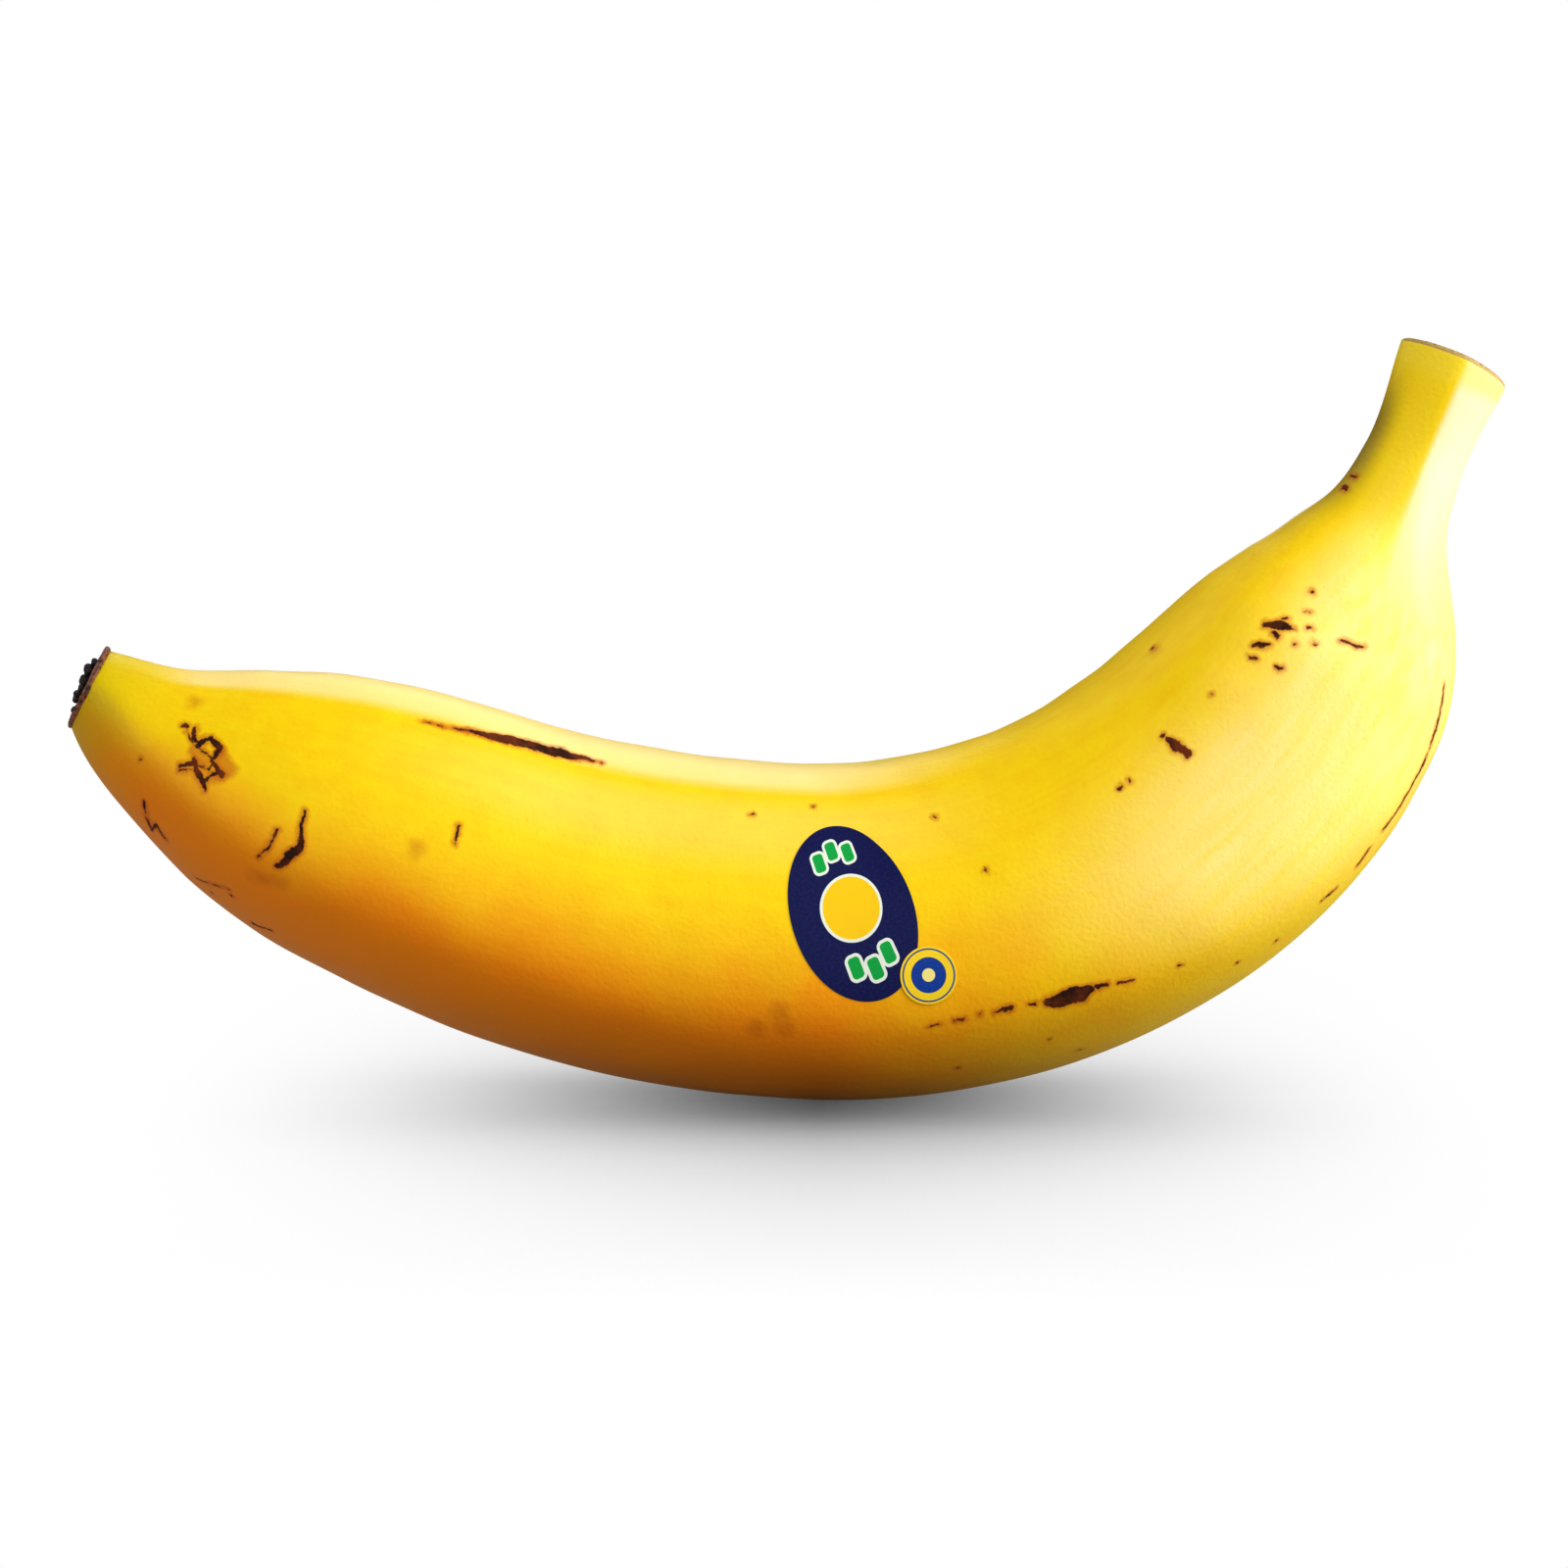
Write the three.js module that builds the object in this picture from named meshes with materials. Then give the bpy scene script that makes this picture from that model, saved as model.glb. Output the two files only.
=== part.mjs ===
// A ripe dessert banana lying on its outer curve, cut from its hand with a short stalk, and the
// two small stickers on its side. Millimetres: +X runs toward the stalk, +Y away from the
// stickers and +Z up. The origin is the middle of the small flat that the fruit rests on.

import * as THREE from 'three';
import { LoftGeometry } from 'three/addons/geometries/LoftGeometry.js';

// ------------------------------------------------------------------ driving dimensions

// Stations along the fruit's spine, from the blossom end to the cut stalk. Each holds the
// spine's place along X, its height, the fruit's half thickness there and how crisp the
// ridges are, from 0 for well rounded to 1 for clearly angled.
const stations = [
  [-89, 48.5, 5.1, 0.9],
  [-80.5, 42.3, 8.8, 0.8],
  [-72, 38, 12.9, 0.7],
  [-63, 34.3, 15.7, 0.5],
  [-53.5, 30.8, 17.2, 0.4],
  [-35, 24.3, 18.4, 0.2],
  [-15.5, 20.4, 19, 0.1],
  [4, 20, 19.3, 0],
  [23, 24.5, 19.3, 0],
  [40.3, 35.2, 18.8, 0.1],
  [50.3, 46.3, 17.2, 0.3],
  [55.6, 54.3, 15.1, 0.4],
  [58, 59, 12.8, 0.5],
  [60, 63.5, 10, 0.7],
  [62, 68, 7.2, 0.9],
  [64.7, 74.3, 5.7, 1],
  [69.5, 86.3, 6.3, 1],
];

// The section's gently bowed faces, which meet in blunt ridges. A face looks away from the
// spine in a direction, counted in degrees from the outer curve toward the stickers. Its
// distance from the spine and its bow radius are in half thicknesses.
const faces = [
  { toward: 0, distance: 1.025, bow: 1.35 }, // outer curve, well bowed
  { toward: 118, distance: 0.99, bow: 1.7 }, // sticker side
  { toward: -118, distance: 0.98, bow: 1.7 }, // far side
  { toward: 180, distance: 1.025, bow: 2.2 }, // inner curve, nearly flat
];
const sideways = 0.96; // the fruit's width as a share of its thickness
const softRidge = 14; // exponent that blends the faces where the ridges are well rounded
const crispRidge = 24; // the same where they are clearly angled

const restingFlat = 0.4; // depth of fruit pressed flat under its own weight

// The ends: a dished scar with a stub in its middle where the flower was, and a stalk cut a
// little bowed. Each row is a ring's size as a share of the end ring, and how far it stands
// out past that ring along the spine.
const blossomScar = [[0.14, -0.2], [0.42, -0.9], [0.82, -0.4]];
const cutStalk = [[0.86, 0.5], [0.55, 0.9], [0.12, 1.0]];

// The stickers. The place is the share of the spine's length from the blossom end and the
// angle from the outer curve; the lean turns the oval's long axis away from straight round,
// and the steps are the faceted sheet's divisions each way.
const ovalSticker = { along: 0.479, around: 105, long: 20.5, short: 13.7, lean: 20, steps: 12 };
const roundSticker = { along: 0.5265, around: 79, long: 6.4, short: 6.4, lean: 0, steps: 6 };
const stickerGap = 0.3; // clear of the skin
const stickerThickness = 0.2;

// Fineness of the faceted surfaces
const ringsPerStation = 4;
const pointsPerRing = 44;
const stickerTip = 75; // the loft stops this many degrees round the oval's outline

// ------------------------------------------------------------------------ the spine

const spine = new THREE.CatmullRomCurve3(
  stations.map(([x, z]) => new THREE.Vector3(x, 0, z)), false, 'chordal');
const girth = new THREE.CatmullRomCurve3(
  stations.map(([x, , half, crisp]) => new THREE.Vector3(x, half, crisp)), false, 'chordal');

// Radius of the section in one direction: each face is an arc, and the smallest arc radius
// counts most in the blend.
function sectionRadius(degrees, half, crisp) {
  const blend = THREE.MathUtils.lerp(softRidge, crispRidge, crisp);
  let sum = 0;
  for (const { toward, distance, bow } of faces) {
    const angle = THREE.MathUtils.degToRad(degrees - toward);
    const offset = bow - distance;
    const reach = Math.sqrt(bow ** 2 - (offset * Math.sin(angle)) ** 2) - offset * Math.cos(angle);
    sum += reach ** -blend;
  }
  return half * sum ** (-1 / blend);
}

// Point of the skin at a spine parameter and an angle from the outer curve; scale shrinks the
// section about the spine, lift moves the point off the skin and push moves it along the spine.
function skinPoint(t, degrees, { scale = 1, lift = 0, push = 0 } = {}) {
  const centre = spine.getPoint(t);
  const along = spine.getTangent(t);
  const { y: half, z: crisp } = girth.getPoint(t);
  const angle = THREE.MathUtils.degToRad(degrees);
  const outward = new THREE.Vector3(along.z, 0, -along.x).multiplyScalar(Math.cos(angle));
  outward.y = -Math.sin(angle) * sideways;
  const radius = scale * sectionRadius(degrees, half, crisp) + lift;
  return centre.addScaledVector(outward, radius).addScaledVector(along, push);
}

// ------------------------------------------------------------------------ the pieces

function skinRing(t, options) {
  const ring = [];
  for (let i = 0; i < pointsPerRing; i++) {
    ring.push(skinPoint(t, -i * 360 / pointsPerRing, options));
  }
  return ring;
}

// The whole fruit: blossom scar, body, neck and stalk in one skin, with the lowest part
// pressed flat.
function fruitRings() {
  const rings = blossomScar.map(([scale, stand]) => skinRing(0, { scale, push: -stand }));
  const steps = (stations.length - 1) * ringsPerStation;
  for (let i = 0; i <= steps; i++) rings.push(skinRing(i / steps));
  for (const [scale, stand] of cutStalk) rings.push(skinRing(1, { scale, push: stand }));
  return rings;
}

const rings = fruitRings();
const lowest = Math.min(...rings.flat().map((point) => point.z));
const tableHeight = lowest + restingFlat;
for (const point of rings.flat()) point.z = Math.max(point.z, tableHeight);

// A thin oval shell over the skin, lofted along the oval's long axis. Each section runs across
// the underside and back over the top.
function stickerSections({ along, around, long, short, lean, steps }) {
  const { y: half, z: crisp } = girth.getPoint(spine.getUtoTmapping(along));
  const degreesPerMillimetre = THREE.MathUtils.radToDeg(1 / sectionRadius(around, half, crisp));
  const sections = [];
  for (let i = 0; i <= steps; i++) {
    const turn = THREE.MathUtils.degToRad(stickerTip) * (2 * i / steps - 1);
    const section = [];
    for (const [lift, side] of [[stickerGap, 1], [stickerGap + stickerThickness, -1]]) {
      for (let j = 0; j <= steps; j++) {
        const across = side * (1 - 2 * j / steps) * Math.cos(turn);
        const point = new THREE.Vector2(across * short / 2, Math.sin(turn) * long / 2);
        point.rotateAround(new THREE.Vector2(), THREE.MathUtils.degToRad(lean));
        const t = spine.getUtoTmapping(along + point.x / spine.getLength());
        section.push(skinPoint(t, around + point.y * degreesPerMillimetre, { lift }));
      }
    }
    sections.push(section);
  }
  return sections;
}

function piece(name, sections, material) {
  const geometry = new LoftGeometry(sections, { capStart: true, capEnd: true });
  const mesh = new THREE.Mesh(geometry, new THREE.MeshStandardMaterial(material));
  mesh.name = name;
  return mesh;
}

const banana = new THREE.Group();
banana.position.z = -tableHeight;
banana.add(
  piece('banana', rings, { color: 0xf0bc14, roughness: 0.5, metalness: 0 }),
  piece('oval_sticker', stickerSections(ovalSticker), { color: 0x22285a, roughness: 0.4, metalness: 0 }),
  piece('round_sticker', stickerSections(roundSticker), { color: 0xe8c02a, roughness: 0.4, metalness: 0 }),
);

export default banana;
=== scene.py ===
"""A ripe dessert banana lying on its outer curve on a white table, with two plain stickers."""
import bpy
import numpy as np
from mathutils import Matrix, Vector


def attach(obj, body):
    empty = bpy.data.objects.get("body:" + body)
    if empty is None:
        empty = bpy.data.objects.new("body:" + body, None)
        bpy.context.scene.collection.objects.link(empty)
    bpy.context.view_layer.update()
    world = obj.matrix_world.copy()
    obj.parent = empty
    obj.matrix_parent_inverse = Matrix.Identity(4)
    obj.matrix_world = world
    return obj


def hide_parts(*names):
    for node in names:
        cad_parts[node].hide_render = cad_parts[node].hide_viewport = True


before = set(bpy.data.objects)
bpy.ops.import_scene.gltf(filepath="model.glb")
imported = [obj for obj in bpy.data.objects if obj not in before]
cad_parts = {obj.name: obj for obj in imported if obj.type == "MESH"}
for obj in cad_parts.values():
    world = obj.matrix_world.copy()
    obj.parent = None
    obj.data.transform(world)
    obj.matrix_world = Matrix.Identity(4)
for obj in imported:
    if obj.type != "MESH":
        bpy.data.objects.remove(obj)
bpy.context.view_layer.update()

mm = 0.001

# ---------------------------------------------------------------------------- the camera
# A long lens looks along +Y at the side with the stickers, from a little above the table.
sight = Vector((-8.0, 0, 36.6)) * mm     # the point in the middle of the view
rise = np.radians(8.0)                   # how far the camera looks down
distance = 0.9
view_width = 182.4 * mm                  # what the frame takes in, side to side, at the fruit

lens = bpy.data.cameras.new("camera")
lens.sensor_width = 36.0
lens.lens = lens.sensor_width * distance / view_width
lens.clip_start = 0.01
camera = bpy.data.objects.new("camera", lens)
camera.location = sight + Vector((0, -np.cos(rise), np.sin(rise))) * distance
camera.rotation_euler = (np.pi / 2 - rise, 0, 0)
bpy.context.scene.collection.objects.link(camera)
bpy.context.scene.camera = camera

# ----------------------------------------------------------------------------- the fruit
# The whole fruit is one grown piece: blossom scar, body, neck and cut stalk under one peel.
# The peel is a thick, waxy skin with blunt ridges, fine pores and lengthwise fibres.

# Stations along the spine from the blossom end to the cut: x, height, half thickness, how
# crisp the ridges are, and how far the section is twisted toward the camera, in degrees.
stations = np.array([
    (-89.0, 48.5, 4.5, 0.9, 45),
    (-80.5, 42.3, 8.8, 0.8, 23),
    (-72.0, 38.0, 12.9, 0.7, 14),
    (-63.0, 34.3, 15.7, 0.6, 11),
    (-53.5, 30.8, 17.2, 0.5, 9),
    (-35.0, 24.3, 18.4, 0.3, 7),
    (-15.5, 20.4, 19.0, 0.2, 5.5),
    (4.0, 20.0, 19.3, 0.1, 4),
    (23.0, 24.5, 19.3, 0.1, 1),
    (40.3, 35.2, 18.8, 0.2, -10),
    (50.3, 46.3, 17.2, 0.3, -20),
    (55.6, 54.3, 15.1, 0.4, -18),
    (58.0, 59.0, 12.8, 0.5, -10),
    (60.0, 63.5, 10.0, 0.7, -2),
    (62.0, 68.0, 7.2, 0.9, 8),
    (64.7, 74.3, 5.7, 1.0, 18),
    (69.5, 86.3, 6.3, 1.0, 24),
])
# The faces of the section: direction from the outer curve in degrees, distance from the
# spine and bow radius in half thicknesses.
faces = [(0, 1.025, 1.36), (118, 0.99, 1.7), (-118, 0.98, 1.7), (180, 1.025, 2.2)]
sideways = 0.96                          # width as a share of thickness
soft_ridge, crisp_ridge = 14, 24         # blend exponents
resting_flat = 0.4                       # depth pressed flat on the table
# Neither end is cut square. The cut leans back and falls toward the outer curve, the blossom
# rim slopes the other way, both in degrees, and each sits in by some mm. All of it is taken
# up over the last mm of the end.
cut_lean, cut_slope, cut_short = 12, 3.6, 0.7
rim_slope, rim_short = 9.5, 0.45
end_depth = 7

knots = np.concatenate([[0], np.cumsum(np.hypot(*np.diff(stations[:, :2], axis=0).T))])
length = knots[-1]


def station(column, at):
    """A station column at distances along the spine: cubic pieces whose slopes at the
    stations are those of the parabola through each station and its two neighbours."""
    values = stations[:, column]
    slopes = np.gradient(values, knots)
    at = np.clip(at, 0, length)
    i = np.clip(np.searchsorted(knots, at, side="right") - 1, 0, len(knots) - 2)
    step = knots[i + 1] - knots[i]
    t = (at - knots[i]) / step
    return ((1 + 2 * t) * (1 - t) ** 2 * values[i] + t ** 2 * (3 - 2 * t) * values[i + 1]
            + step * t * (1 - t) * ((1 - t) * slopes[i] - t * slopes[i + 1]))


def swell(points, wave, seed):
    """Smooth unevenness from -1 to 1: a sum of sine waves of one wavelength in random
    directions, so it has no seam anywhere."""
    rng = np.random.default_rng(seed)
    total = np.zeros(points.shape[:-1])
    for _ in range(9):
        way = rng.normal(size=3)
        way *= 2 * np.pi / wave / np.linalg.norm(way)
        total += np.sin(points @ way + rng.uniform(0, 2 * np.pi))
    return total / 4.5


def section_radius(angle, half, crisp):
    """Radius of the section at an angle in radians: every face is an arc about a point
    beyond the spine, and the arcs are blended so that the nearest counts most."""
    blend = soft_ridge + (crisp_ridge - soft_ridge) * crisp
    total = 0
    for toward, reach, bow in faces:
        turned = angle - np.radians(toward)
        beyond = bow - reach
        arc = np.sqrt(bow ** 2 - (beyond * np.sin(turned)) ** 2) - beyond * np.cos(turned)
        total = total + arc ** -blend
    return half * total ** (-1 / blend)


def peel(at, around, shrink=1.0, lift=0.0, push=0.0):
    """Points of the peel in millimetres, for distances along the spine and angles from the
    outer curve in degrees, positive toward the camera. Shrink draws the section in, lift
    moves a point off the skin and push moves it along the spine. Near an end the section
    also slides along the spine, by its distance from it times the tangent of the slope.
    Also gives the same points on a fruit straightened out along X, for the fibres."""
    at, around, shrink, lift, push = np.broadcast_arrays(at, around, shrink, lift, push)
    x, z = station(0, at), station(1, at)
    ahead, behind = np.clip(at + 0.5, 0, length), np.clip(at - 0.5, 0, length)
    run, climb = station(0, ahead) - station(0, behind), station(1, ahead) - station(1, behind)
    run, climb = run / np.hypot(run, climb), climb / np.hypot(run, climb)
    angle = np.radians(around)
    twisted = angle - np.radians(station(4, at))
    radius = section_radius(twisted, station(2, at), np.clip(station(3, at), 0, 1))
    down, side = np.cos(angle), np.sin(angle) * sideways
    straight = np.stack([at, -radius * side, -radius * down], -1)
    radius = radius * (1 + 0.008 * swell(straight, 31, 1) + 0.003 * swell(straight, 9, 2))
    radius = radius * shrink + lift
    near_cut = np.clip((at - length + end_depth) / end_depth, 0, 1) ** 2
    push = push + near_cut * (np.tan(np.radians(cut_lean)) * radius * side - cut_short
                              - np.tan(np.radians(cut_slope)) * radius * down)
    near_rim = np.clip(1 - at / end_depth, 0, 1) ** 2
    push = push + near_rim * (np.tan(np.radians(rim_slope)) * radius * down + rim_short)
    points = np.stack([x + radius * down * climb + push * run,
                       -radius * side,
                       z - radius * down * run + push * climb], -1)
    return points, straight


columns = 168
rows = 520
scar_rows = 14                           # rows from the blossom rim in to its middle
cut_rows = 14                            # the same across the cut stalk
around = np.arange(columns) * 360 / columns + 180 / columns

inward = np.linspace(1, 0, scar_rows, endpoint=False)[::-1]
scar_shrink = np.sin(inward * np.pi / 2)
scar_push = 1.1 * (1 - inward ** 2) - 0.9 * np.exp(-(inward / 0.3) ** 2)
outward = np.linspace(1, 0, cut_rows, endpoint=False)
cut_shrink = np.sin(outward * np.pi / 2) ** 0.8
cut_push = 0.9 * (1 - outward ** 3)

body = np.linspace(0, length, rows)
row_at = np.concatenate([np.zeros(scar_rows - 1), body, np.full(cut_rows - 1, length)])
row_shrink = np.concatenate([scar_shrink[:-1], np.ones(rows), cut_shrink[1:]])
row_push = np.concatenate([scar_push[:-1], np.zeros(rows), cut_push[1:]])
row_past = np.concatenate([-4 * (1 - inward[:-1]), np.zeros(rows), 4 * (1 - outward[1:])])

points, straight = peel(row_at[:, None], around[None, :], row_shrink[:, None], 0.0,
                        row_push[:, None])
straight[..., 0] += row_past[:, None]
straight[..., 1:] *= row_shrink[:, None, None]
table_height = points[..., 2].min() + resting_flat


def tube_mesh(name, tubes):
    """A mesh of closed tubes. Each is rings of points in millimetres, joined by quads,
    with a fan about an end point over each end."""
    verts, faces, done = [], [], 0
    for points, ends in tubes:
        rings, count = points.shape[:2]
        ring = done + np.arange(rings * count).reshape(rings, count)
        a, b = ring[:-1], ring[1:]
        quads = np.stack([a, np.roll(a, -1, 1), np.roll(b, -1, 1), b], -1)
        faces += quads.reshape(-1, 4).tolist()
        first = done + rings * count
        faces += [(first, n, m) for m, n in zip(ring[0], np.roll(ring[0], -1))]
        faces += [(first + 1, m, n) for m, n in zip(ring[-1], np.roll(ring[-1], -1))]
        verts += [points.reshape(-1, 3), ends]
        done = first + 2
    mesh = bpy.data.meshes.new(name)
    mesh.from_pydata(np.concatenate(verts) * mm, [], faces)
    mesh.shade_smooth()
    piece = bpy.data.objects.new(name, mesh)
    bpy.context.scene.collection.objects.link(piece)
    return piece


def rest_on_table(points):
    """Lowers the points so that the fruit stands on the table, and presses flat what
    would reach below it."""
    points = points - (0, 0, table_height)
    points[..., 2] = np.maximum(points[..., 2], 0)
    return points


ends = np.stack([points[0].mean(0), points[-1].mean(0)])
fruit = tube_mesh("ripe_banana", [(rest_on_table(points), rest_on_table(ends))])
fibres = fruit.data.attributes.new("straight", "FLOAT_VECTOR", "POINT")
fibre_ends = np.stack([straight[0].mean(0), straight[-1].mean(0)])
fibres.data.foreach_set("vector", np.concatenate([straight.reshape(-1, 3), fibre_ends]).ravel())

# The peel's material. Places on the fruit are given as millimetres along the spine and
# degrees around it, so the marks below read as where the fruit was knocked or rubbed.
skin = bpy.data.materials.new("peel")
skin.use_nodes = True
tree = skin.node_tree
shader = tree.nodes["Principled BSDF"]


def add(tree, kind, inputs=(), **settings):
    """A shader node. Inputs gives each socket a value, or the output that feeds it."""
    made = tree.nodes.new(kind)
    for name, value in settings.items():
        setattr(made, name, value)
    for socket, value in dict(inputs).items():
        if isinstance(value, bpy.types.NodeSocket):
            tree.links.new(value, made.inputs[socket])
        else:
            made.inputs[socket].default_value = value
    return made


def maths(tree, operation, a, b=0.0, c=0.0):
    """One step of arithmetic between numbers."""
    return add(tree, "ShaderNodeMath", {0: a, 1: b, 2: c}, operation=operation).outputs[0]


def chain(tree, operation, first, *others):
    """The same step of arithmetic carried on through several numbers."""
    for other in others:
        first = maths(tree, operation, first, other)
    return first


def vectors(tree, operation, a, b=(0, 0, 0)):
    """One step of arithmetic between vectors."""
    return add(tree, "ShaderNodeVectorMath", {0: a, 1: b}, operation=operation).outputs[0]


def fade(tree, value, start, end, high=1.0):
    """A smooth change from 0 where value is start to high where it is end."""
    return add(tree, "ShaderNodeMapRange", {0: value, 1: start, 2: end, 3: 0.0, 4: high},
               interpolation_type="SMOOTHSTEP").outputs[0]


def tint(tree, amount, under, over):
    """The colour over laid on the colour under, by an amount from 0 to 1."""
    return add(tree, "ShaderNodeMix", {0: amount, 6: under, 7: over},
               data_type="RGBA").outputs[2]


def noise(tree, point, scale, detail=2.0, roughness=0.5):
    """Soft noise from 0 to 1 at a point in millimetres, scale cells to the millimetre."""
    return add(tree, "ShaderNodeTexNoise", {"Vector": point, "Scale": scale, "Detail": detail,
                                            "Roughness": roughness}).outputs[0]


def stroke_group():
    """A group that measures how far a point lies outside a tapering stroke, and keeps the
    smaller of that and the distance it is given."""
    group = bpy.data.node_groups.new("stroke", "ShaderNodeTree")
    for name, kind in [("Point", "NodeSocketVector"), ("Start", "NodeSocketVector"),
                       ("Run", "NodeSocketVector"), ("Share", "NodeSocketVector"),
                       ("Start Width", "NodeSocketFloat"), ("Widening", "NodeSocketFloat"),
                       ("Nearest", "NodeSocketFloat")]:
        group.interface.new_socket(name, in_out="INPUT", socket_type=kind)
    group.interface.new_socket("Distance", in_out="OUTPUT", socket_type="NodeSocketFloat")
    given = group.nodes.new("NodeGroupInput").outputs
    from_start = vectors(group, "SUBTRACT", given["Point"], given["Start"])
    share = add(group, "ShaderNodeVectorMath", {0: from_start, 1: given["Share"]},
                operation="DOT_PRODUCT").outputs["Value"]
    share = add(group, "ShaderNodeClamp", {0: share}).outputs[0]
    foot = add(group, "ShaderNodeVectorMath", {0: given["Run"], "Scale": share},
               operation="SCALE").outputs[0]
    away = add(group, "ShaderNodeVectorMath", {0: from_start, 1: foot},
               operation="DISTANCE").outputs["Value"]
    width = maths(group, "MULTIPLY_ADD", share, given["Widening"], given["Start Width"])
    nearest = maths(group, "MINIMUM", maths(group, "SUBTRACT", away, width), given["Nearest"])
    add(group, "NodeGroupOutput", {"Distance": nearest})
    return group


stroke = stroke_group()


def marks(tree, point, strokes):
    """The distance from a point on the peel to the nearest of some strokes. A stroke is
    (along, around, half width) for each of its bends, tapering evenly between them."""
    nearest = 9.0
    for bends in strokes:
        bends = np.array(bends + bends[:1] if len(bends) == 1 else bends, float)
        spots = rest_on_table(peel(bends[:, 0], bends[:, 1])[0])
        for start, end, first, last in zip(spots, spots[1:], bends[:, 2], bends[1:, 2]):
            run = end - start
            share = run / max(run @ run, 1e-6)
            nearest = add(tree, "ShaderNodeGroup", {
                "Point": point, "Start": start, "Run": run, "Share": share,
                "Start Width": first, "Widening": last - first, "Nearest": nearest},
                node_tree=stroke).outputs[0]
    return nearest


def in_mm(tree):
    """The place on the piece in millimetres."""
    metres = add(tree, "ShaderNodeTexCoord").outputs["Object"]
    return vectors(tree, "MULTIPLY", metres, (1 / mm, 1 / mm, 1 / mm))


place = in_mm(tree)
fibre = add(tree, "ShaderNodeAttribute", attribute_name="straight").outputs["Vector"]
fibre_parts = add(tree, "ShaderNodeSeparateXYZ", {0: fibre}).outputs
along = fibre_parts[0]
turn = maths(tree, "ARCTAN2", maths(tree, "MULTIPLY", fibre_parts[1], -1.0),
             maths(tree, "MULTIPLY", fibre_parts[2], -1.0))
turn = maths(tree, "MULTIPLY", turn, 180 / np.pi)
off_belly = maths(tree, "ABSOLUTE", turn)

# Uneven ripening: clouds a centimetre or two across, with finer mottling inside them.
# Streaks are noise drawn out along the fibres. Wander shifts the edges of the colours below,
# which are given in degrees or millimetres, so that none of them is straight.
clouds = noise(tree, place, 0.07, 3)
mottling = noise(tree, place, 0.35, 3)
streaks = noise(tree, vectors(tree, "MULTIPLY", fibre, (0.035, 1.0, 1.0)), 0.8, 3, 0.6)
wander = maths(tree, "MULTIPLY_ADD", maths(tree, "SUBTRACT", clouds, 0.5), 36.0,
               maths(tree, "MULTIPLY", maths(tree, "SUBTRACT", streaks, 0.5), 9.0))

# Of these colours, the amber stands in for shade on the belly, the creams for sheen and light, and
# the dark stalk olive partly for shade.
lemon, gold = (0.96, 0.71, 0.007, 1), (0.94, 0.62, 0.003, 1)
amber_shade, sheen_cream = (0.90, 0.30, 0.002, 1), (1.0, 0.81, 0.33, 1)
tip_olive, stalk_olive_shade = (0.62, 0.50, 0.006, 1), (0.26, 0.18, 0.003, 1)
lit_flank_cream, stalk_lemon = (1.0, 0.82, 0.56, 1), (1.0, 0.76, 0.012, 1)
cut_edge = (0.98, 0.78, 0.08, 1)
ripeness = maths(tree, "MULTIPLY_ADD", mottling, 0.5, maths(tree, "MULTIPLY", streaks, 0.5))
colour = tint(tree, fade(tree, ripeness, 0.3, 0.8), lemon, gold)

# Painted shade: the belly of the blossom half is painted a deeper amber, up to just over the lower
# ridge, standing in for the shade on the side turned from the lamps.
belly_shade = fade(tree, maths(tree, "ADD", off_belly, wander), 110, 60)
blossom_half = fade(tree, maths(tree, "ADD", along, wander), 140, 86)
colour = tint(tree, maths(tree, "MULTIPLY", belly_shade, blossom_half), colour, amber_shade)

# Painted sheen and light: the skin is painted a pale cream where the lamps light it brightest and
# glint on the wax, over the stalk half and strongest toward its outer curve, down one flank of the
# stalk, in a strip along the inner ridge, and faint under that ridge.
shoulder = chain(
    tree, "MULTIPLY",
    fade(tree, maths(tree, "MULTIPLY_ADD", turn, -0.4, along), 66, 112),
    fade(tree, maths(tree, "ADD", off_belly, wander), 142, 96),
    fade(tree, maths(tree, "MULTIPLY_ADD", along, 1.6, off_belly), 250, 300),
    fade(tree, along, 196, 170), fade(tree, streaks, -0.3, 0.75))
flank = maths(tree, "MULTIPLY", fade(tree, along, 160, 174), fade(tree, turn, 90, 80))
inner_strip = chain(tree, "MULTIPLY", fade(tree, off_belly, 150, 158),
                    fade(tree, along, 118, 84), fade(tree, along, 3, 12))
under_ridge = chain(tree, "MULTIPLY", fade(tree, off_belly, 112, 134),
                    fade(tree, off_belly, 154, 140), fade(tree, along, 26, 60),
                    fade(tree, along, 124, 90, 0.3))
painted_sheen = chain(tree, "MAXIMUM", shoulder, under_ridge, flank, inner_strip)
# Painted sheen and light: the pale cream is laid over the skin colour here.
colour = tint(tree, maths(tree, "MULTIPLY", painted_sheen, 0.9), colour, sheen_cream)

# The stalk: its outer flank, lit by the lamp at the right, is painted paler still as painted light,
# its front a clear lemon, its last mm paler.
# Painted light: a paler cream down the stalk's outer flank.
lit_flank = maths(tree, "MULTIPLY", fade(tree, along, 172, 188, 0.8), fade(tree, turn, 90, 80))
colour = tint(tree, lit_flank, colour, lit_flank_cream)
stalk_front = maths(tree, "MULTIPLY", fade(tree, along, 168, 184, 0.7), fade(tree, turn, 80, 92))
colour = tint(tree, stalk_front, colour, stalk_lemon)
colour = tint(tree, fade(tree, along, length - 3.4, length - 1.6, 0.45), colour, cut_edge)

# Green left at both ends: a trace round the blossom, and the inner edge of the stalk, where the
# green is also darkened as painted shade.
tip_green = maths(tree, "ADD", along, maths(tree, "MULTIPLY", clouds, 8.0))
colour = tint(tree, fade(tree, tip_green, 18, 2, 0.7), colour, tip_olive)
# Real green and painted shade: a dark olive down the stalk's inner edge.
stalk_green_and_shade = chain(tree, "MULTIPLY", fade(tree, along, 170, 184, 0.8),
                    fade(tree, turn, 126, 168), fade(tree, along, 197, 188))
colour = tint(tree, stalk_green_and_shade, colour, stalk_olive_shade)

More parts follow.
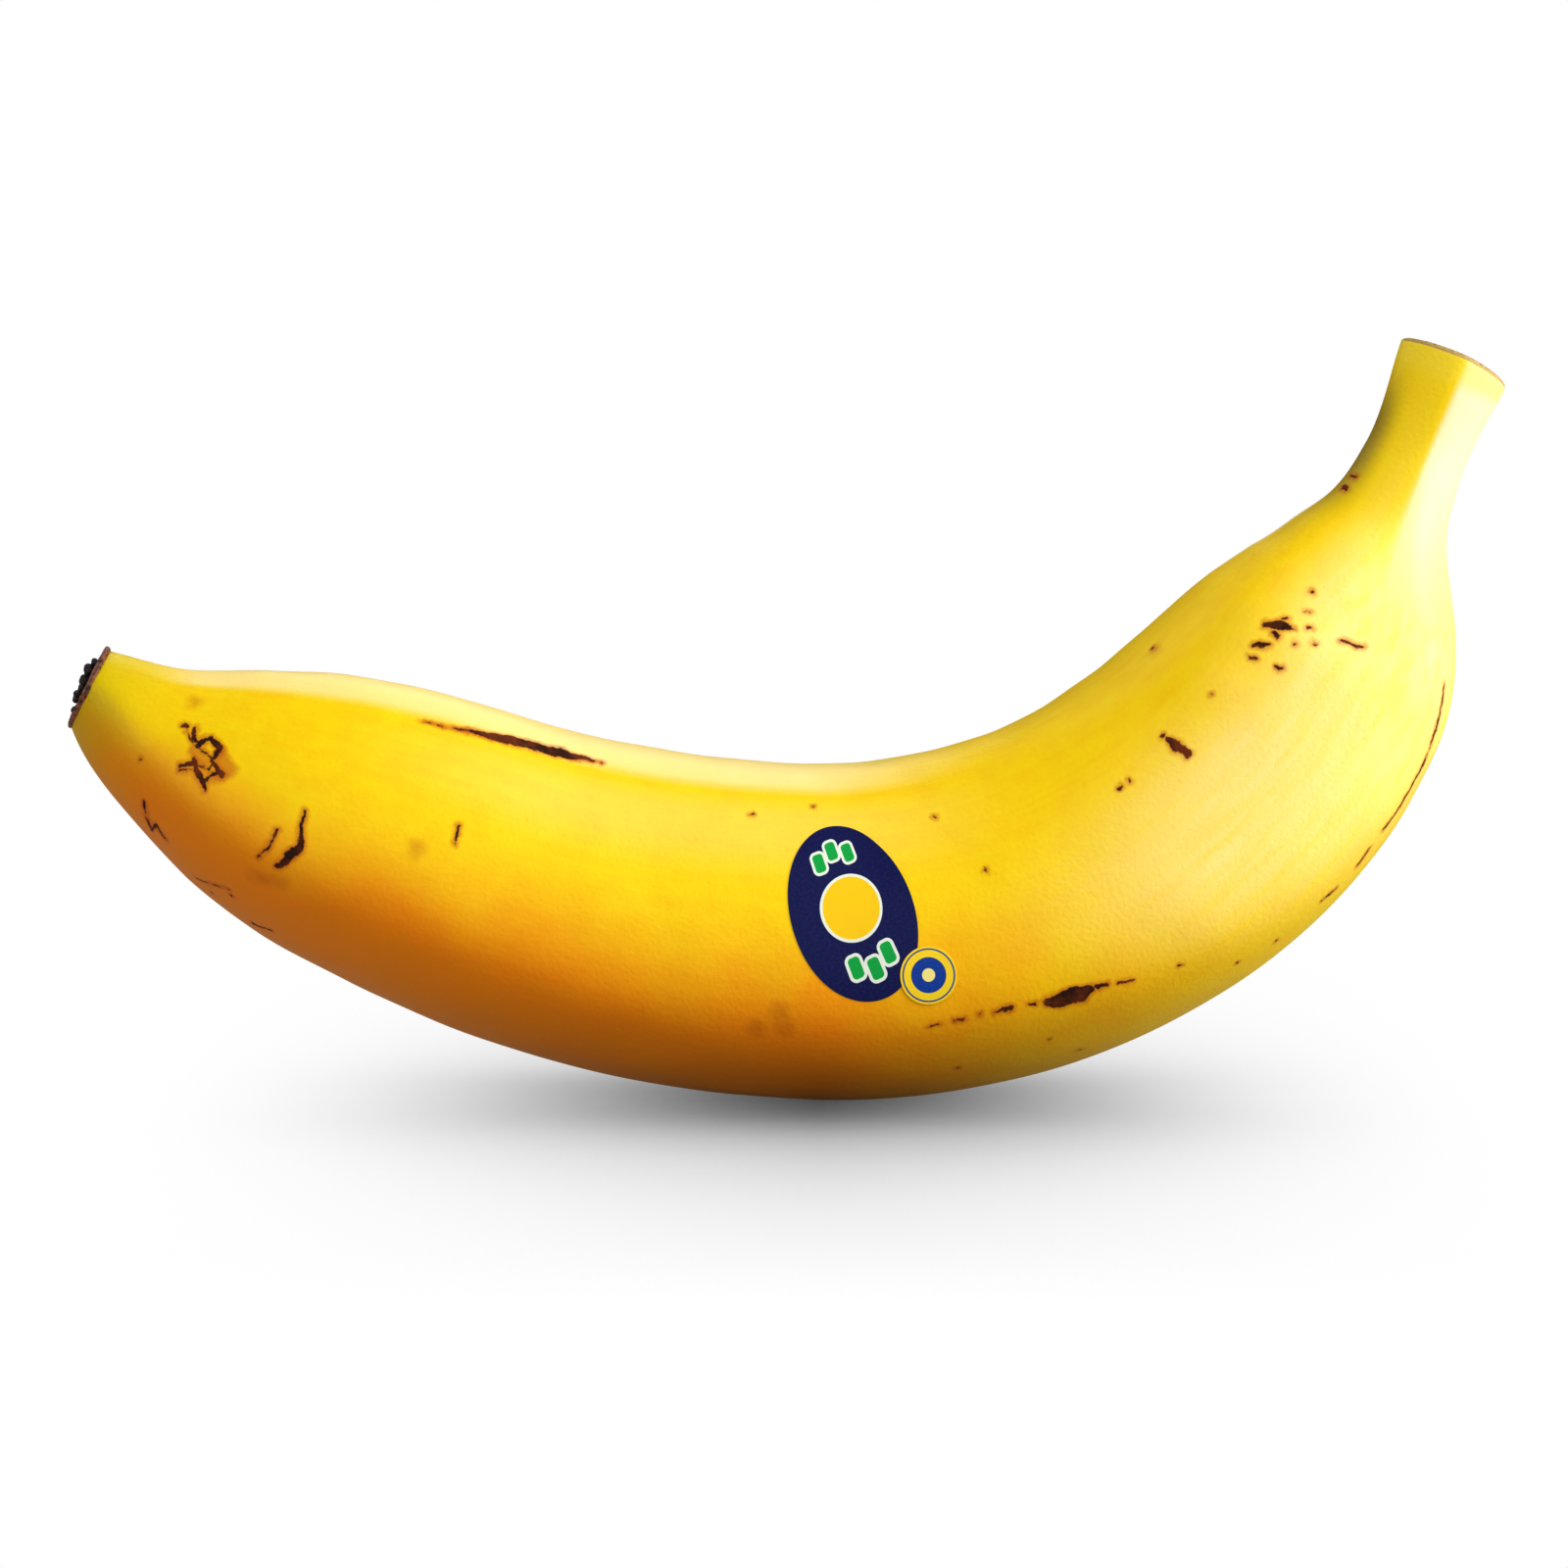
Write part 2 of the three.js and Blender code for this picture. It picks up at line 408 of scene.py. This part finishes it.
# Marks: the point is jittered by fine noise so that no mark has a clean edge.
jittered = place
for scale, detail, roughness, reach in [(1.6, 3.0, 0.65, 0.75), (0.55, 1.0, 0.5, 0.8)]:
    shake = add(tree, "ShaderNodeTexNoise", {"Vector": place, "Scale": scale, "Detail": detail,
                                             "Roughness": roughness}).outputs["Color"]
    shake = vectors(tree, "SUBTRACT", shake, (0.5, 0.5, 0.5))
    jittered = vectors(tree, "ADD", jittered, vectors(tree, "MULTIPLY", shake, (reach,) * 3))

star_scar = [        # crossing scratches where something sharp rubbed, near the blossom
    [(12.3, 114, 0.35)], [(12.6, 112, 0.09), (14.4, 105, 0.1), (17, 101.5, 0.12)],
    [(13.6, 115, 0.14), (14.2, 108, 0.28), (15, 106, 0.28), (15.4, 110.5, 0.2), (16, 112, 0.26),
     (17.4, 109, 0.35), (17.2, 100, 0.18), (19, 96.2, 0.28)],
    [(14.2, 90.2, 0.25), (15.4, 95.5, 0.25)],
    [(15.2, 97, 0.28), (16, 91.8, 0.33), (17.5, 88.8, 0.3), (17.9, 85.8, 0.08)],
    [(17.5, 89.5, 0.2), (17.9, 94, 0.17), (18.8, 97, 0.28)],
    [(15.7, 94.8, 0.1), (17.4, 94.8, 0.12), (17.4, 100, 0.09)],
    [(14.4, 88, 0.09), (15.5, 91, 0.09)],
]
scratches = [        # hooked scratches and a short slit on the blossom end
    [(12.4, 52.8, 0.2), (14.4, 33.2, 0.2)],
    [(14.4, 33.2, 0.22), (14.7, 43.8, 0.14), (16.2, 39.2, 0.09)],
    [(27.3, 85, 0.14), (26.8, 77, 0.13), (26.3, 71, 0.06)],
    [(29.4, 95.5, 0.13), (29.9, 87, 0.16), (30.3, 82, 0.4), (29.6, 77.5, 0.46), (28.8, 72, 0.28)],
    [(21, 30, 0.1), (24.6, 44.5, 0.07)], [(28.4, 26, 0.2), (30.7, 32.5, 0.11)],
    [(46.5, 110.5, 0.11), (46.5, 106.8, 0.17), (46.8, 103, 0.07)],
]
ridge_bruise = [     # a long bruise where the upper ridge was knocked
    [(39, 149.5, 0.06), (39.5, 149.5, 0.12)], [(40.4, 149.6, 0.14), (41.0, 149.8, 0.1)],
    [(42.2, 150.0, 0.08), (44.5, 151.2, 0.3), (48.6, 153.2, 0.78), (54.7, 154.8, 0.82),
     (58.4, 155.2, 0.35)],
    [(58.8, 155.6, 0.28), (60.1, 155.4, 0.16)], [(61.2, 155.3, 0.1)],
]
lower_bruises = [    # a broken line of rubs on the lower ridge past the stickers
    [(102.3, 65.5, 0.14), (103.4, 65.7, 0.12)], [(104.9, 66.0, 0.15), (106.0, 66.2, 0.1)],
    [(107.5, 66.3, 0.1)], [(109.1, 66.3, 0.1), (110.2, 66.4, 0.28), (110.9, 66.2, 0.22)],
    [(112.7, 65.9, 0.13), (113.3, 65.2, 0.16)],
    [(114.4, 64.6, 0.45), (115.8, 63.8, 0.95), (117.5, 63.4, 0.95), (118.7, 64.2, 0.5)],
    [(119.5, 63.9, 0.3), (120.5, 63.0, 0.2)], [(121.7, 61.8, 0.18), (122.9, 60.2, 0.12)],
]
shoulder_knocks = [  # knocks scattered over the shoulder below the neck
    [(161.2, 123.2, 0.2), (162.0, 119.0, 0.5), (162.4, 116.0, 0.5), (162.6, 112.4, 0.12)],
    [(161.0, 118.0, 0.25), (160.9, 115.6, 0.35)], [(163.1, 118.9, 0.16), (163.4, 117.2, 0.1)],
    [(158.2, 121.0, 0.16), (158.9, 118.6, 0.3), (159.4, 116.6, 0.14)],
    [(156.6, 119.4, 0.1), (156.9, 117, 0.2)],
    [(157.6, 108.6, 0.14), (157.8, 106.4, 0.17)], [(163.7, 107.6, 0.2), (163.9, 106, 0.12)],
    [(162.5, 102.6, 0.1), (162.5, 101, 0.13)], [(161.2, 108.4, 0.1)],
    [(165.2, 112.5, 0.08), (165.3, 110.5, 0.1)],
    [(164.2, 92.5, 0.12), (164.8, 82, 0.09)], [(167.6, 115.8, 0.17)], [(150.1, 121, 0.17)],
    [(142, 120.2, 0.34), (142.2, 116.5, 0.65), (142.5, 112, 0.4)], [(141.7, 123.2, 0.28)],
    [(132.7, 118, 0.2)], [(134.2, 118, 0.17)], [(149.4, 157.8, 0.17)],
]
outer_rub = [        # a thin rubbed line down the outer curve, and specks on the stalk
    [(165, 36.2, 0.12), (161.8, 34.8, 0.2), (157.5, 32, 0.22), (153, 32, 0.2), (150, 34.2, 0.1)],
    [(148, 34, 0.1), (146, 33, 0.14)], [(143, 34, 0.13), (141.5, 35.5, 0.17)],
    [(136.1, 35.5, 0.17)], [(132.1, 40.8, 0.17)],
    [(179.7, 157.8, 0.34), (179.7, 153.2, 0.28)], [(181.3, 161.5, 0.14), (181.3, 153.2, 0.12)],
]
specks = [           # single brown specks anywhere on the skin
    [(9.9, 78.2, 0.12)], [(23, 27.2, 0.14)], [(25.1, 40.8, 0.14)], [(81.8, 140.5, 0.12)],
    [(89.9, 145.8, 0.12)], [(107, 136, 0.12)], [(112.1, 112, 0.12)], [(113.4, 48.2, 0.12)],
    [(115.7, 34, 0.12)], [(104.3, 43.8, 0.12)], [(127.5, 56.5, 0.12)],
]
faint = [            # old rubs that only stain the peel
    [(11.9, 134.5, 0.15)], [(86.6, 72.2, 0.45), (87.3, 67.8, 0.45)], [(84.5, 66.2, 0.5)],
    [(42.8, 97, 0.28)], [(26.6, 61.8, 0.1), (30.1, 66.2, 0.1)], [(149.4, 155.5, 0.2)],
]
sore = [             # skin gone red beside the star scar and where the ridge bruise starts
    [(17.6, 106, 0.5), (19.3, 99, 0.8), (18.6, 93, 0.3)], [(14.6, 100, 0.3), (16.4, 97, 0.4)],
    [(38.6, 149.5, 0.1), (43.5, 150.2, 0.3), (47, 151.6, 0.2)], [(56, 153.5, 0.2), (61, 155, 0.2)],
]
blemish = marks(tree, jittered, star_scar + scratches + ridge_bruise + lower_bruises
                + shoulder_knocks + outer_rub + specks)
stain = marks(tree, jittered, faint)
reddened = marks(tree, jittered, sore)

# From the outside in: a faint stain, red soreness, a brown halo, then the dark core.
stain_brown, sore_red = (0.60, 0.17, 0.004, 1), (0.62, 0.17, 0.012, 1)
halo_brown = (0.58, 0.12, 0.006, 1)
core_black, core_brown = (0.050, 0.012, 0.003, 1), (0.20, 0.045, 0.008, 1)
stained = maths(tree, "MULTIPLY", fade(tree, stain, 1.6, -0.2, 0.5), fade(tree, mottling, 0.2, 0.6))
colour = tint(tree, stained, colour, stain_brown)
colour = tint(tree, fade(tree, reddened, 0.8, -0.2, 0.65), colour, sore_red)
halo = fade(tree, maths(tree, "MULTIPLY_ADD", mottling, 0.8, blemish), 1.15, 0.25, 0.7)
colour = tint(tree, halo, colour, halo_brown)
core = fade(tree, blemish, 0.12, -0.04)
core_colour = tint(tree, fade(tree, mottling, 0.38, 0.62), core_black, core_brown)
colour = tint(tree, core, colour, core_colour)

# Past the rim at the blossom the skin turns to a dark crust; past the cut it is dry fibre.
past_rim = fade(tree, along, 0.5, -0.4)
colour = tint(tree, past_rim, colour, (0.022, 0.012, 0.010, 1))
past_cut = fade(tree, along, length - 0.05, length + 0.1)
fibre_holes = maths(tree, "MULTIPLY", fade(tree, noise(tree, place, 2.3, 3), 0.46, 0.62),
                    fade(tree, along, length + 0.2, length + 1.2))
cut_colour = tint(tree, fibre_holes, (0.52, 0.38, 0.15, 1), (0.24, 0.15, 0.06, 1))
colour = tint(tree, past_cut, colour, cut_colour)
tree.links.new(colour, shader.inputs["Base Color"])
shader.inputs["Specular IOR Level"].default_value = 0.25

# Satin wax, a little drier where it is mottled and dull on marks, crust and cut.
dry = chain(tree, "MAXIMUM", core, past_rim, past_cut)
satin = maths(tree, "MULTIPLY_ADD", mottling, 0.16, 0.35)
satin = maths(tree, "MULTIPLY_ADD", dry, 0.32, satin)
tree.links.new(satin, shader.inputs["Roughness"])

# Fine pores over the whole skin, faint lengthwise fibres, and marks that sink in.
pores = noise(tree, place, 1.7, 1, 0.5)
height = maths(tree, "MULTIPLY_ADD", streaks, 0.2, maths(tree, "MULTIPLY", pores, 0.38))
height = maths(tree, "MULTIPLY_ADD", core, -0.35, height)
crumbs = maths(tree, "MULTIPLY", dry, noise(tree, place, 2.4, 4))
height = maths(tree, "MULTIPLY_ADD", crumbs, 1.2, height)
bump = add(tree, "ShaderNodeBump", {"Height": height, "Strength": 0.5, "Distance": 0.3 * mm})
tree.links.new(bump.outputs[0], shader.inputs["Normal"])
fruit.data.materials.append(skin)
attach(fruit, "root")
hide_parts("banana")

# ---------------------------------------------------------------- the blossom crust
# What is left of the flower: a black, glossy crust over the blossom scar, with a curled
# copper-brown lip where the peel shrank back and dried knobs standing out of it.
crust_columns, crust_rings = 96, 49
lip_profile = np.array([  # share of the end's radius, and mm out past the rim
    (0.30, -0.8), (0.70, -0.7), (0.96, -0.45), (1.04, -0.25), (1.07, 0.0), (1.05, 0.25),
    (0.99, 0.42), (0.90, 0.45), (0.80, 0.20), (0.70, 0.12), (0.58, 0.08), (0.42, 0.16),
    (0.25, 0.10)])
knobs = [  # degrees round the end, share of its radius, mm out past the rim, mm across
    (168, 0.62, 0.7, 1.0), (150, 0.45, 1.0, 1.2), (128, 0.55, 0.9, 1.0), (196, 0.35, 0.9, 1.1),
    (105, 0.35, 0.8, 1.3), (84, 0.50, 0.6, 0.9), (60, 0.45, 0.7, 1.1), (240, 0.50, 0.6, 1.2),
    (300, 0.45, 0.6, 1.2), (20, 0.40, 0.7, 1.1), (340, 0.70, 0.4, 0.8), (265, 0.75, 0.4, 0.9)]
fine = np.linspace(0, len(lip_profile) - 1, crust_rings)
share = np.interp(fine, np.arange(len(lip_profile)), lip_profile[:, 0])[:, None]
past = np.interp(fine, np.arange(len(lip_profile)), lip_profile[:, 1])[:, None]
turns = np.arange(crust_columns) * 360 / crust_columns
crust_points = peel(0.0, turns[None, :], share, 0.0, -past)[0]

# The crust is roughened by moving its points to and from a place just inside the fruit.
rough = (swell(crust_points, 2.6, 11) * 0.22 + swell(crust_points, 0.9, 12) * 0.10)[..., None]
inside = peel(np.array(0.0), np.array(0.0), 0.0, 0.0, 1.5)[0]
away = crust_points - inside
crust_points = crust_points + rough * away / np.linalg.norm(away, axis=-1, keepdims=True)
crust_ends = np.stack([crust_points[0].mean(0), crust_points[-1].mean(0)])
tubes = [(rest_on_table(crust_points), rest_on_table(crust_ends))]
on_lip = np.broadcast_to(np.exp(-((share - 1.02) / 0.10) ** 2), crust_points.shape[:2])
lip = [on_lip.ravel(), [0, 0]]

# Each knob is a ball with its poles along Z, lumped by the same kind of unevenness.
polar = np.radians(np.linspace(12, 168, 14))[:, None]
swing = np.radians(np.arange(20) * 18)
for place_round, place_out, stand, across in knobs:
    hub = peel(np.array(0.0), np.array(float(place_round)), place_out, 0.0, -stand)[0]
    ball = np.stack([np.sin(polar) * np.cos(swing), np.sin(polar) * np.sin(swing),
                     np.cos(polar) * np.ones_like(swing)], -1) * across / 2
    ball = ball * (1.0 + 0.28 * swell(ball + hub, 1.1, 13)[..., None])
    caps = np.array([[0, 0, across / 2], [0, 0, -across / 2]])
    tubes.append((rest_on_table(ball + hub), rest_on_table(caps + hub)))
    lip += [np.zeros(ball[..., 0].size), [0, 0]]
crust = tube_mesh("dried_blossom", tubes)
lip_values = crust.data.attributes.new("lip", "FLOAT", "POINT")
lip_values.data.foreach_set("value", np.concatenate(lip))
dried = bpy.data.materials.new("dried_blossom")
dried.use_nodes = True
tree = dried.node_tree
shader = tree.nodes["Principled BSDF"]
wrinkles = noise(tree, in_mm(tree), 1.7, 4, 0.6)
near_lip = add(tree, "ShaderNodeAttribute", attribute_name="lip").outputs["Fac"]
curl = maths(tree, "MULTIPLY", near_lip, fade(tree, wrinkles, 0.36, 0.56))
soot, copper = (0.006, 0.005, 0.004, 1), (0.36, 0.135, 0.070, 1)
charred = tint(tree, wrinkles, soot, (0.050, 0.026, 0.018, 1))
tree.links.new(tint(tree, curl, charred, copper), shader.inputs["Base Color"])
tree.links.new(maths(tree, "MULTIPLY_ADD", wrinkles, 0.3, 0.22), shader.inputs["Roughness"])
bump = add(tree, "ShaderNodeBump", {"Height": wrinkles, "Strength": 0.6, "Distance": 0.4 * mm})
tree.links.new(bump.outputs[0], shader.inputs["Normal"])
crust.data.materials.append(dried)
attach(crust, "root")

# ------------------------------------------------------------------- the oval sticker
# A printed paper oval, glued flat over the middle of the near flank, its top leaning
# toward the blossom. The print is plain: a yellow disc and green bars on navy.
oval_centre = (94.8, 106.4)              # mm along and degrees around
oval_half = (10.25, 7.45)                # half its length and half its width
oval_lean = 20                           # degrees
paper, glue = 0.06, 0.03                 # thicknesses


def sticker(name, centre, half, lean, over):
    """A thin closed oval that follows the peel: rings run out under it, round its edge and
    back over the top. Its attribute flat gives the place on the paper in millimetres,
    the second number running along its length, and is 1 in the third on the printed side."""
    steps = np.append(np.linspace(0, 0.985, 24)[1:], [0.995, 1])
    spokes = np.radians(np.arange(96) * 360 / 96)
    out = np.concatenate([steps, steps[::-1]])[:, None]
    printed_side = np.repeat([0, 1], len(steps))[:, None]
    across, up = out * half[1] * np.cos(spokes), out * half[0] * np.sin(spokes)
    tipped = np.radians(lean)
    ahead = across * np.cos(tipped) - up * np.sin(tipped)
    higher = across * np.sin(tipped) + up * np.cos(tipped)
    spot = np.array(centre, float)
    reach = np.linalg.norm(peel(*spot)[0] - peel(*spot, 0.0)[0])
    points = peel(spot[0] + ahead, spot[1] + np.degrees(higher / reach), 1.0,
                  over + paper * printed_side)[0]
    hubs = np.array([peel(*spot, 1.0, over)[0], peel(*spot, 1.0, over + paper)[0]])
    piece = tube_mesh(name, [(rest_on_table(points), rest_on_table(hubs))])
    flat = np.stack(np.broadcast_arrays(across, up, printed_side), -1).reshape(-1, 3)
    flat = np.concatenate([flat, [(0, 0, 0), (0, 0, 1)]])
    on_paper = piece.data.attributes.new("flat", "FLOAT_VECTOR", "POINT")
    on_paper.data.foreach_set("vector", flat.ravel())
    return piece


def printed(name):
    """A paper material, and the two coordinates of its print in millimetres."""
    made = bpy.data.materials.new(name)
    made.use_nodes = True
    flat = add(made.node_tree, "ShaderNodeAttribute", attribute_name="flat").outputs["Vector"]
    parts = add(made.node_tree, "ShaderNodeSeparateXYZ", {0: flat}).outputs
    return made, flat, parts[0], parts[1]


def paper_group():
    """A group that gives ink the fine grain of the paper it is printed on."""
    group = bpy.data.node_groups.new("paper_grain", "ShaderNodeTree")
    for name, kind, way in [("Place", "NodeSocketVector", "INPUT"),
                            ("Ink", "NodeSocketColor", "INPUT"),
                            ("Color", "NodeSocketColor", "OUTPUT"),
                            ("Roughness", "NodeSocketFloat", "OUTPUT"),
                            ("Normal", "NodeSocketVector", "OUTPUT")]:
        group.interface.new_socket(name, in_out=way, socket_type=kind)
    given = group.nodes.new("NodeGroupInput").outputs
    grain = noise(group, given["Place"], 3.0, 3, 0.6)
    worn = tint(group, fade(group, grain, 0.35, 0.8, 0.02), given["Ink"], (0.8, 0.8, 0.8, 1))
    bump = add(group, "ShaderNodeBump", {"Height": grain, "Strength": 0.15, "Distance": 0.04 * mm})
    add(group, "NodeGroupOutput", {
        "Color": worn, "Roughness": maths(group, "MULTIPLY_ADD", grain, 0.15, 0.38),
        "Normal": bump.outputs[0]})
    return group


paper_grain = paper_group()


def finish_print(made, colour, flat):
    """Lays the print on its paper under a satin varnish."""
    tree = made.node_tree
    shader = tree.nodes["Principled BSDF"]
    grained = add(tree, "ShaderNodeGroup", {"Place": flat, "Ink": colour}, node_tree=paper_grain)
    for name, socket in [("Color", "Base Color"), ("Roughness", "Roughness"), ("Normal", "Normal")]:
        tree.links.new(grained.outputs[name], shader.inputs[socket])
    shader.inputs["Specular IOR Level"].default_value = 0.2


def disc(tree, across, up, centre, radius):
    """How far a place is outside a circle, in millimetres."""
    dx, dy = maths(tree, "SUBTRACT", across, centre[0]), maths(tree, "SUBTRACT", up, centre[1])
    squares = maths(tree, "MULTIPLY_ADD", dx, dx, maths(tree, "MULTIPLY", dy, dy))
    return maths(tree, "SUBTRACT", maths(tree, "SQRT", squares), radius)


def bar(tree, across, up, centre, half):
    """How far a place is outside an upright bar with rounded ends, in millimetres."""
    dx = maths(tree, "ABSOLUTE", maths(tree, "SUBTRACT", across, centre[0]))
    dy = maths(tree, "ABSOLUTE", maths(tree, "SUBTRACT", up, centre[1]))
    dx = maths(tree, "MAXIMUM", maths(tree, "SUBTRACT", dx, half[0]), 0.0)
    dy = maths(tree, "MAXIMUM", maths(tree, "SUBTRACT", dy, half[1]), 0.0)
    return maths(tree, "SQRT", maths(tree, "MULTIPLY_ADD", dx, dx, maths(tree, "MULTIPLY", dy, dy)))


navy, white_ink = (0.008, 0.012, 0.105, 1), (0.80, 0.84, 0.74, 1)
sun_yellow, leaf_green = (0.92, 0.62, 0.008, 1), (0.006, 0.42, 0.085, 1)
sun_radius = 3.5
bar_core, bar_round = (0.25, 0.7), 0.4   # half size of a bar's straight core, round its ends
bar_places = [(x, y * top) for top in (1, -1) for x, y in [(-2, 6.2), (0, 7.1), (2, 6.2)]]
outline, ink_edge = 0.42, 0.06           # width of the white line round each, and its softness

oval = sticker("oval_label", oval_centre, oval_half, oval_lean, glue)
label, flat, across, up = printed("navy_sticker")
tree = label.node_tree
ink = navy
shapes = [(disc(tree, across, up, (0, 0), sun_radius), sun_yellow, 0.0)]
shapes += [(bar(tree, across, up, centre, bar_core), leaf_green, bar_round)
           for centre in bar_places]
for distance, colour, edge in shapes:
    outer = edge + outline
    ink = tint(tree, fade(tree, distance, outer, outer - ink_edge), ink, white_ink)
    ink = tint(tree, fade(tree, distance, edge + ink_edge, edge), ink, colour)
finish_print(label, ink, flat)
oval.data.materials.append(label)
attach(oval, "root")
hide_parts("oval_sticker")

# ------------------------------------------------------------------ the round sticker
# A small yellow paper disc, glued so that it laps the lower edge of the oval. Its print
# is a thin blue ring round a blue spot with a pale middle.
round_centre = (103.0, 82.0)
round_half = (3.15, 3.15)
round_label = sticker("round_label", round_centre, round_half, 0, glue + paper + 0.02)
label, flat, across, up = printed("yellow_sticker")
tree = label.node_tree
blue, label_yellow = (0.008, 0.07, 0.36, 1), (0.92, 0.68, 0.03, 1)
pale_yellow = (0.90, 0.80, 0.30, 1)
ink = label_yellow
from_middle = disc(tree, across, up, (0, 0), 0.0)
for radius, colour in [(2.92, blue), (2.76, label_yellow), (1.95, blue), (0.75, pale_yellow)]:
    ink = tint(tree, fade(tree, from_middle, radius, radius - 0.05), ink, colour)
finish_print(label, ink, flat)
round_label.data.materials.append(label)
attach(round_label, "root")
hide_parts("round_sticker")

# ------------------------------------------------------------------ the table and light
# A white table top that runs out of sight, under large soft lamps to the right, in front
# and behind. It glows evenly instead of being lit, and its soft shadow is a painted shadow in that
# glow, worked out from how much of the fruit each spot of it sees and from where the spot lies.
floor_half = 3.0                         # half its side, in metres
top = bpy.data.meshes.new("table_top")
top.from_pydata([(-floor_half, -floor_half, 0), (floor_half, -floor_half, 0),
                 (floor_half, floor_half, 0), (-floor_half, floor_half, 0)], [], [(0, 1, 2, 3)])
table = bpy.data.objects.new("table_top", top)
bpy.context.scene.collection.objects.link(table)
white = bpy.data.materials.new("table_white")
white.use_nodes = True
tree = white.node_tree
tree.nodes.remove(tree.nodes["Principled BSDF"])

# Each spot looks up and back to the fruit, as far as a tenth of a metre. The shadow is then
# painted deeper in front of the fruit and painted out with distance from under the belly, toward
# both ends.
shade = add(tree, "ShaderNodeAmbientOcclusion", {"Distance": 0.1, "Normal": (0, 0.75, 0.66)},
            samples=2).outputs["AO"]
shade = add(tree, "ShaderNodeMapRange", {0: shade, 1: 0.2, 2: 0.9, 3: 0.10, 4: 1.0}).outputs[0]
table_parts = add(tree, "ShaderNodeSeparateXYZ", {0: in_mm(tree)}).outputs
in_front = fade(tree, table_parts[1], 0, -30, 1.4)
shade = maths(tree, "POWER", shade, maths(tree, "ADD", in_front, 1.0))
from_belly = maths(tree, "ABSOLUTE", maths(tree, "ADD", table_parts[0], 4))
under_belly = fade(tree, from_belly, 82, -10)
shade = maths(tree, "MULTIPLY_ADD", maths(tree, "SUBTRACT", shade, 1.0), under_belly, 1.0)

# The table is pure white to the eye, and lights the fruit at less than half of that.
floor_bounce, world_fill = 0.44, 0.15
seen = add(tree, "ShaderNodeLightPath").outputs["Is Camera Ray"]
strength = maths(tree, "MULTIPLY_ADD", seen, 1 - floor_bounce, floor_bounce)
grey = add(tree, "ShaderNodeCombineColor", {0: shade, 1: shade, 2: shade}).outputs[0]
glow = add(tree, "ShaderNodeEmission", {"Strength": strength, "Color": grey})
tree.links.new(glow.outputs[0], tree.nodes["Material Output"].inputs["Surface"])
top.materials.append(white)

# Square soft lamps, all at one distance in metres and facing the middle of the fruit: the
# side in degrees round from the camera toward +X, height in degrees, size in metres, watts.
lamp_distance = 0.6
for name, side, height, size, power in [
        ("right", 80, 12, 0.45, 4.2), ("upper_right", 45, 45, 0.36, 1.75),
        ("front", 10, 15, 0.5, 0.82), ("left_front", -50, 15, 0.5, 1.1),
        ("back", 172, 42, 0.36, 0.8), ("left_back", -120, 35, 0.36, 0.8)]:
    lamp = bpy.data.lights.new(name, "AREA")
    lamp.size = size
    lamp.energy = power
    holder = bpy.data.objects.new(name, lamp)
    side, height = np.radians(side), np.radians(height)
    toward = Vector((np.sin(side) * np.cos(height), -np.cos(side) * np.cos(height),
                     np.sin(height)))
    holder.location = sight + toward * lamp_distance
    holder.rotation_euler = toward.to_track_quat("Z", "Y").to_euler()
    bpy.context.scene.collection.objects.link(holder)

world = bpy.data.worlds.new("studio")
bpy.context.scene.world = world
world.use_nodes = True
tree = world.node_tree
seen = add(tree, "ShaderNodeLightPath").outputs["Is Camera Ray"]
backdrop = tree.nodes["Background"].inputs
tree.links.new(maths(tree, "MULTIPLY_ADD", seen, 1 - world_fill, world_fill), backdrop["Strength"])
backdrop["Color"].default_value = (1, 1, 1, 1)
bpy.context.scene.view_settings.view_transform = "Standard"
bpy.context.scene.view_settings.gamma = 0.77
